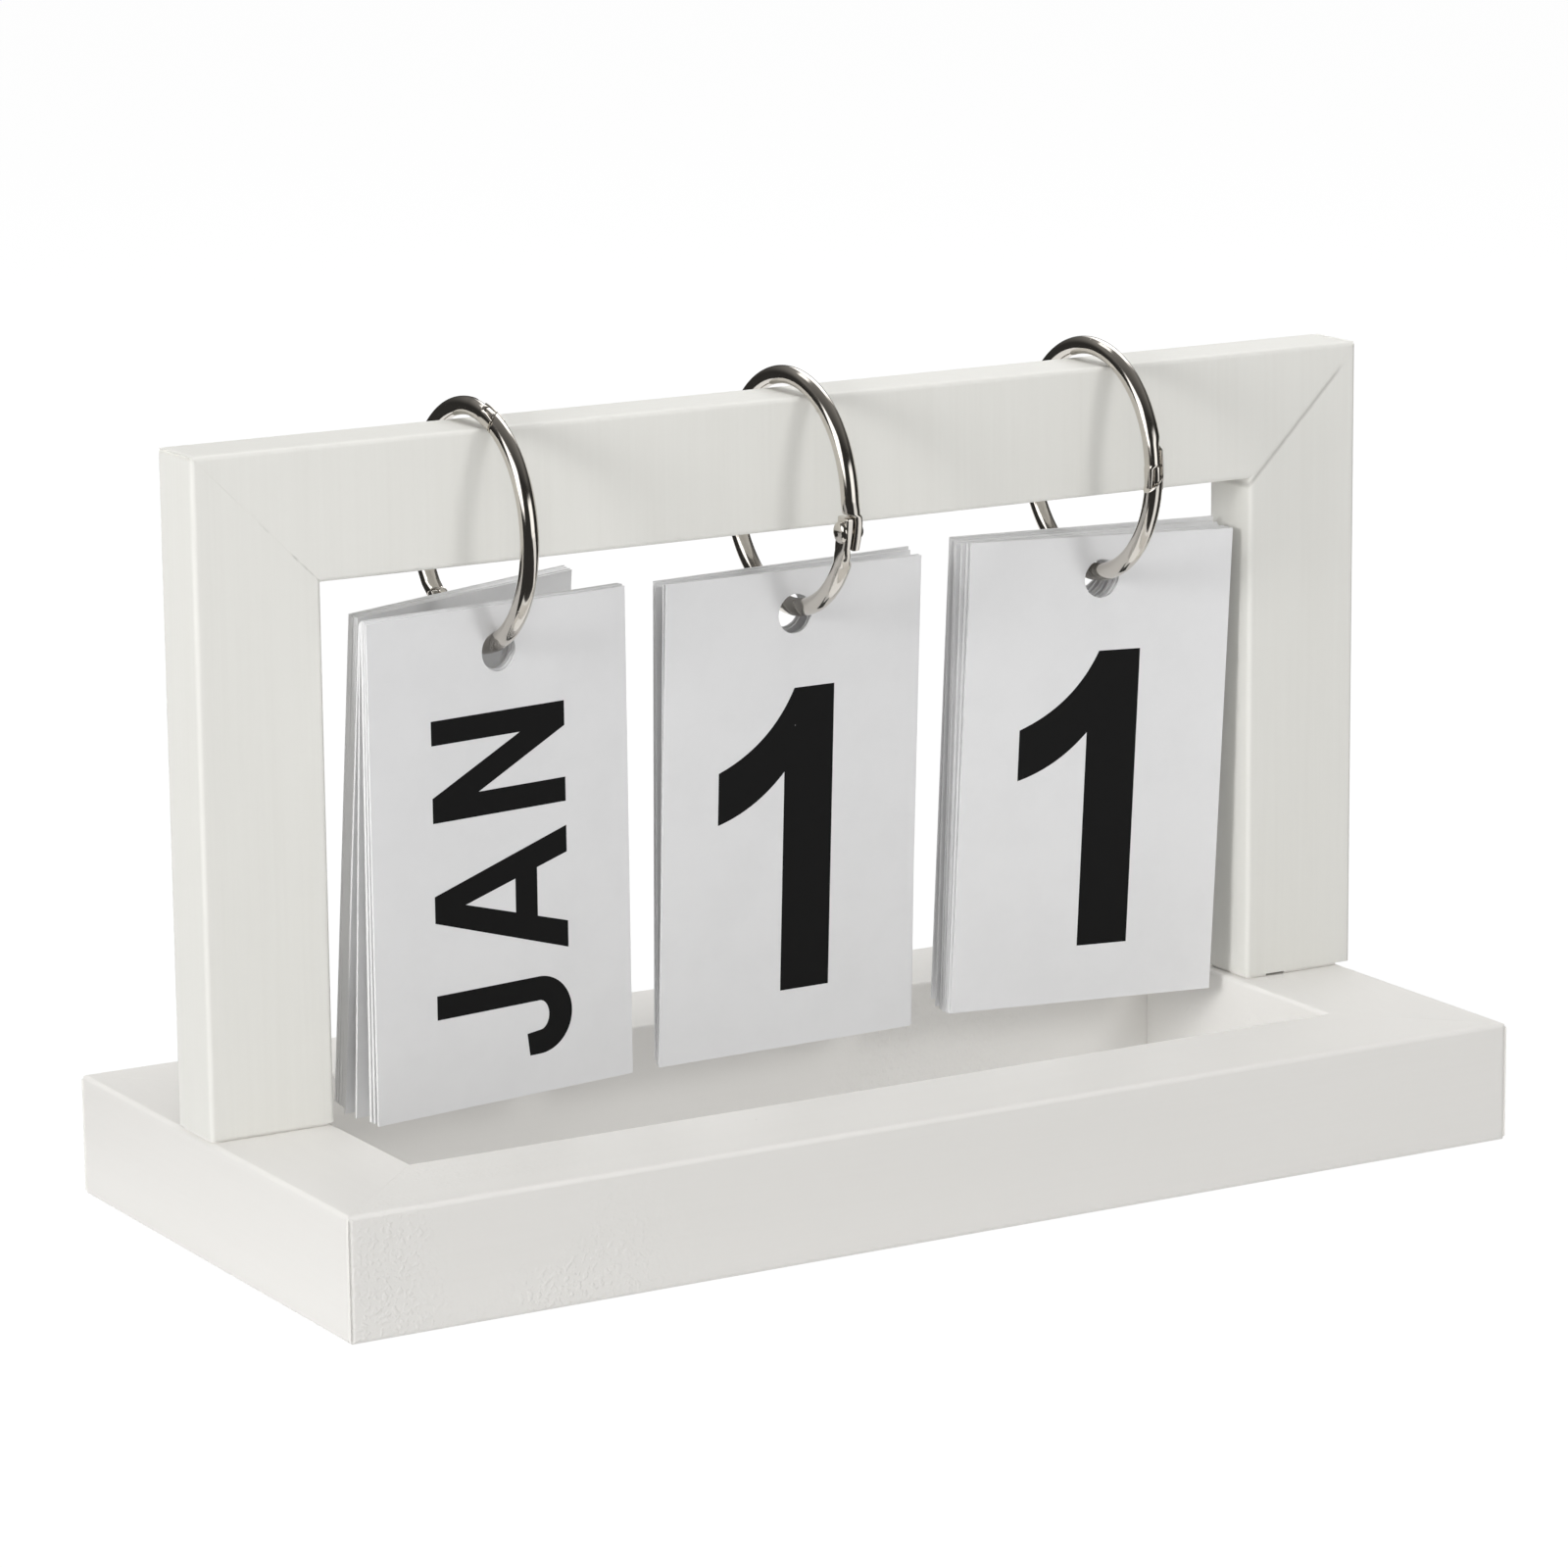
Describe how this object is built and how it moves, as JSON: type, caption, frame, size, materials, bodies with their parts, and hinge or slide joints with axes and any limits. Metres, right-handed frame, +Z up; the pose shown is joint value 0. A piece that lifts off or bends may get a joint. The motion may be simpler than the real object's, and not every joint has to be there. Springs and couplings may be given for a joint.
{
  "type": "perpetual desk calendar",
  "caption": "Perpetual desk calendar: white wooden stand with an open base, book rings over its top rail and packs of punched month and day cards that fan and flip forward.",
  "frame": {"origin": "on the table, under the middle of the whole object", "axes": "+X along the stand to its right post, +Y away from the reader, +Z up"},
  "size_m": [0.232, 0.104, 0.142],
  "materials": {
    "painted_wood": "white satin paint over wood",
    "bare_wood": "plain beech",
    "screw_steel": "black phosphate",
    "nickel": "polished nickel plate",
    "card_stock": "white coated card"
  },
  "bodies": {
    "stand": {"base_front_rail": "painted_wood", "base_back_rail": "painted_wood", "base_left_rail": "painted_wood", "base_right_rail": "painted_wood", "left_post": "painted_wood", "right_post": "painted_wood", "top_rail": "painted_wood", "post_screws": "screw_steel", "base_corner_dowels": "bare_wood", "top_corner_dowels": "bare_wood"},
    "month_ring": {"month_ring_carrier": "nickel", "month_ring_rivet": "nickel"},
    "month_gate": {"month_ring_gate": "nickel"},
    "month_card_01": {"month_card_01": "card_stock"},
    "month_card_02": {"month_card_02": "card_stock"},
    "month_card_03": {"month_card_03": "card_stock"},
    "month_card_04": {"month_card_04": "card_stock"},
    "month_card_05": {"month_card_05": "card_stock"},
    "month_card_06": {"month_card_06": "card_stock"},
    "month_card_07": {"month_card_07": "card_stock"},
    "month_card_08": {"month_card_08": "card_stock"},
    "month_card_09": {"month_card_09": "card_stock"},
    "month_card_10": {"month_card_10": "card_stock"},
    "month_card_11": {"month_card_11": "card_stock"},
    "month_card_12": {"month_card_12": "card_stock"},
    "tens_ring": {"tens_ring_carrier": "nickel", "tens_ring_rivet": "nickel"},
    "tens_gate": {"tens_ring_gate": "nickel"},
    "tens_card_01": {"tens_card_01": "card_stock"},
    "tens_card_02": {"tens_card_02": "card_stock"},
    "tens_card_03": {"tens_card_03": "card_stock"},
    "tens_card_04": {"tens_card_04": "card_stock"},
    "units_ring": {"units_ring_carrier": "nickel", "units_ring_rivet": "nickel"},
    "units_gate": {"units_ring_gate": "nickel"},
    "units_card_01": {"units_card_01": "card_stock"},
    "units_card_02": {"units_card_02": "card_stock"},
    "units_card_03": {"units_card_03": "card_stock"},
    "units_card_04": {"units_card_04": "card_stock"},
    "units_card_05": {"units_card_05": "card_stock"},
    "units_card_06": {"units_card_06": "card_stock"},
    "units_card_07": {"units_card_07": "card_stock"},
    "units_card_08": {"units_card_08": "card_stock"},
    "units_card_09": {"units_card_09": "card_stock"},
    "units_card_10": {"units_card_10": "card_stock"}
  },
  "joints": [
    {"name": "month_ring_turn", "type": "hinge", "parent": "stand", "child": "month_ring", "pos_m": [-0.0612, 0.0055, 0.1201], "axis": [1, 0, 0], "range_deg": [0, 80]},
    {"name": "month_ring_open", "type": "hinge", "parent": "month_ring", "child": "month_gate", "pos_m": [-0.0612, 0.018, 0.10411], "axis": [-1, 0, 0], "range_deg": [0, 75]},
    {"name": "month_pack_fan", "type": "hinge", "parent": "stand", "child": "month_card_02", "pos_m": [-0.0612, 0.0055, 0.1201], "axis": [-1, 0, 0], "range_deg": [0, 65]},
    {"name": "month_front_card_flip", "type": "hinge", "parent": "month_card_02", "child": "month_card_01", "pos_m": [-0.0612, 0.0055, 0.1201], "axis": [-1, 0, 0], "range_deg": [0, 40]},
    {"name": "month_card_03_swing", "type": "hinge", "parent": "stand", "child": "month_card_03", "pos_m": [-0.0612, 0.0055, 0.1201], "axis": [-1, 0, 0], "range_deg": [0, 65]},
    {"name": "month_card_04_swing", "type": "hinge", "parent": "stand", "child": "month_card_04", "pos_m": [-0.0612, 0.0055, 0.1201], "axis": [-1, 0, 0], "range_deg": [0, 65]},
    {"name": "month_card_05_swing", "type": "hinge", "parent": "stand", "child": "month_card_05", "pos_m": [-0.0612, 0.0055, 0.1201], "axis": [-1, 0, 0], "range_deg": [0, 65]},
    {"name": "month_card_06_swing", "type": "hinge", "parent": "stand", "child": "month_card_06", "pos_m": [-0.0612, 0.0055, 0.1201], "axis": [-1, 0, 0], "range_deg": [0, 65]},
    {"name": "month_card_07_swing", "type": "hinge", "parent": "stand", "child": "month_card_07", "pos_m": [-0.0612, 0.0055, 0.1201], "axis": [-1, 0, 0], "range_deg": [0, 65]},
    {"name": "month_card_08_swing", "type": "hinge", "parent": "stand", "child": "month_card_08", "pos_m": [-0.0612, 0.0055, 0.1201], "axis": [-1, 0, 0], "range_deg": [0, 65]},
    {"name": "month_card_09_swing", "type": "hinge", "parent": "stand", "child": "month_card_09", "pos_m": [-0.0612, 0.0055, 0.1201], "axis": [-1, 0, 0], "range_deg": [0, 65]},
    {"name": "month_card_10_swing", "type": "hinge", "parent": "stand", "child": "month_card_10", "pos_m": [-0.0612, 0.0055, 0.1201], "axis": [-1, 0, 0], "range_deg": [0, 65]},
    {"name": "month_card_11_swing", "type": "hinge", "parent": "stand", "child": "month_card_11", "pos_m": [-0.0612, 0.0055, 0.1201], "axis": [-1, 0, 0], "range_deg": [0, 65]},
    {"name": "month_card_12_swing", "type": "hinge", "parent": "stand", "child": "month_card_12", "pos_m": [-0.0612, 0.0055, 0.1201], "axis": [-1, 0, 0], "range_deg": [0, 65]},
    {"name": "tens_ring_turn", "type": "hinge", "parent": "stand", "child": "tens_ring", "pos_m": [0.0008, 0.0055, 0.1201], "axis": [-1, 0, 0], "range_deg": [0, 55]},
    {"name": "tens_ring_open", "type": "hinge", "parent": "tens_ring", "child": "tens_gate", "pos_m": [0.0008, -0.01436, 0.11588], "axis": [1, 0, 0], "range_deg": [0, 75]},
    {"name": "tens_pack_fan", "type": "hinge", "parent": "stand", "child": "tens_card_02", "pos_m": [0.0008, 0.0055, 0.1201], "axis": [-1, 0, 0], "range_deg": [0, 25]},
    {"name": "tens_front_card_flip", "type": "hinge", "parent": "tens_card_02", "child": "tens_card_01", "pos_m": [0.0008, 0.0055, 0.1201], "axis": [-1, 0, 0], "range_deg": [0, 30]},
    {"name": "tens_card_03_swing", "type": "hinge", "parent": "stand", "child": "tens_card_03", "pos_m": [0.0008, 0.0055, 0.1201], "axis": [-1, 0, 0], "range_deg": [0, 25]},
    {"name": "tens_card_04_swing", "type": "hinge", "parent": "stand", "child": "tens_card_04", "pos_m": [0.0008, 0.0055, 0.1201], "axis": [-1, 0, 0], "range_deg": [0, 25]},
    {"name": "units_ring_turn", "type": "hinge", "parent": "stand", "child": "units_ring", "pos_m": [0.063, 0.0055, 0.1201], "axis": [1, 0, 0], "range_deg": [0, 35]},
    {"name": "units_ring_open", "type": "hinge", "parent": "units_ring", "child": "units_gate", "pos_m": [0.063, 0.02575, 0.11868], "axis": [-1, 0, 0], "range_deg": [0, 75]},
    {"name": "units_pack_fan", "type": "hinge", "parent": "stand", "child": "units_card_02", "pos_m": [0.063, 0.0055, 0.1201], "axis": [-1, 0, 0], "range_deg": [0, 60]},
    {"name": "units_front_card_flip", "type": "hinge", "parent": "units_card_02", "child": "units_card_01", "pos_m": [0.063, 0.0055, 0.1201], "axis": [-1, 0, 0], "range_deg": [0, 55]},
    {"name": "units_card_03_swing", "type": "hinge", "parent": "stand", "child": "units_card_03", "pos_m": [0.063, 0.0055, 0.1201], "axis": [-1, 0, 0], "range_deg": [0, 60]},
    {"name": "units_card_04_swing", "type": "hinge", "parent": "stand", "child": "units_card_04", "pos_m": [0.063, 0.0055, 0.1201], "axis": [-1, 0, 0], "range_deg": [0, 60]},
    {"name": "units_card_05_swing", "type": "hinge", "parent": "stand", "child": "units_card_05", "pos_m": [0.063, 0.0055, 0.1201], "axis": [-1, 0, 0], "range_deg": [0, 60]},
    {"name": "units_card_06_swing", "type": "hinge", "parent": "stand", "child": "units_card_06", "pos_m": [0.063, 0.0055, 0.1201], "axis": [-1, 0, 0], "range_deg": [0, 60]},
    {"name": "units_card_07_swing", "type": "hinge", "parent": "stand", "child": "units_card_07", "pos_m": [0.063, 0.0055, 0.1201], "axis": [-1, 0, 0], "range_deg": [0, 60]},
    {"name": "units_card_08_swing", "type": "hinge", "parent": "stand", "child": "units_card_08", "pos_m": [0.063, 0.0055, 0.1201], "axis": [-1, 0, 0], "range_deg": [0, 60]},
    {"name": "units_card_09_swing", "type": "hinge", "parent": "stand", "child": "units_card_09", "pos_m": [0.063, 0.0055, 0.1201], "axis": [-1, 0, 0], "range_deg": [0, 60]},
    {"name": "units_card_10_swing", "type": "hinge", "parent": "stand", "child": "units_card_10", "pos_m": [0.063, 0.0055, 0.1201], "axis": [-1, 0, 0], "range_deg": [0, 60]}
  ],
  "couplings": [
    {"joint": "month_card_03_swing", "follows": "month_pack_fan", "ratio": 0.90909},
    {"joint": "month_card_04_swing", "follows": "month_pack_fan", "ratio": 0.81818},
    {"joint": "month_card_05_swing", "follows": "month_pack_fan", "ratio": 0.72727},
    {"joint": "month_card_06_swing", "follows": "month_pack_fan", "ratio": 0.63636},
    {"joint": "month_card_07_swing", "follows": "month_pack_fan", "ratio": 0.54545},
    {"joint": "month_card_08_swing", "follows": "month_pack_fan", "ratio": 0.45455},
    {"joint": "month_card_09_swing", "follows": "month_pack_fan", "ratio": 0.36364},
    {"joint": "month_card_10_swing", "follows": "month_pack_fan", "ratio": 0.27273},
    {"joint": "month_card_11_swing", "follows": "month_pack_fan", "ratio": 0.18182},
    {"joint": "month_card_12_swing", "follows": "month_pack_fan", "ratio": 0.09091},
    {"joint": "tens_card_03_swing", "follows": "tens_pack_fan", "ratio": 0.66667},
    {"joint": "tens_card_04_swing", "follows": "tens_pack_fan", "ratio": 0.33333},
    {"joint": "units_card_03_swing", "follows": "units_pack_fan", "ratio": 0.88889},
    {"joint": "units_card_04_swing", "follows": "units_pack_fan", "ratio": 0.77778},
    {"joint": "units_card_05_swing", "follows": "units_pack_fan", "ratio": 0.66667},
    {"joint": "units_card_06_swing", "follows": "units_pack_fan", "ratio": 0.55556},
    {"joint": "units_card_07_swing", "follows": "units_pack_fan", "ratio": 0.44444},
    {"joint": "units_card_08_swing", "follows": "units_pack_fan", "ratio": 0.33333},
    {"joint": "units_card_09_swing", "follows": "units_pack_fan", "ratio": 0.22222},
    {"joint": "units_card_10_swing", "follows": "units_pack_fan", "ratio": 0.11111}
  ]
}
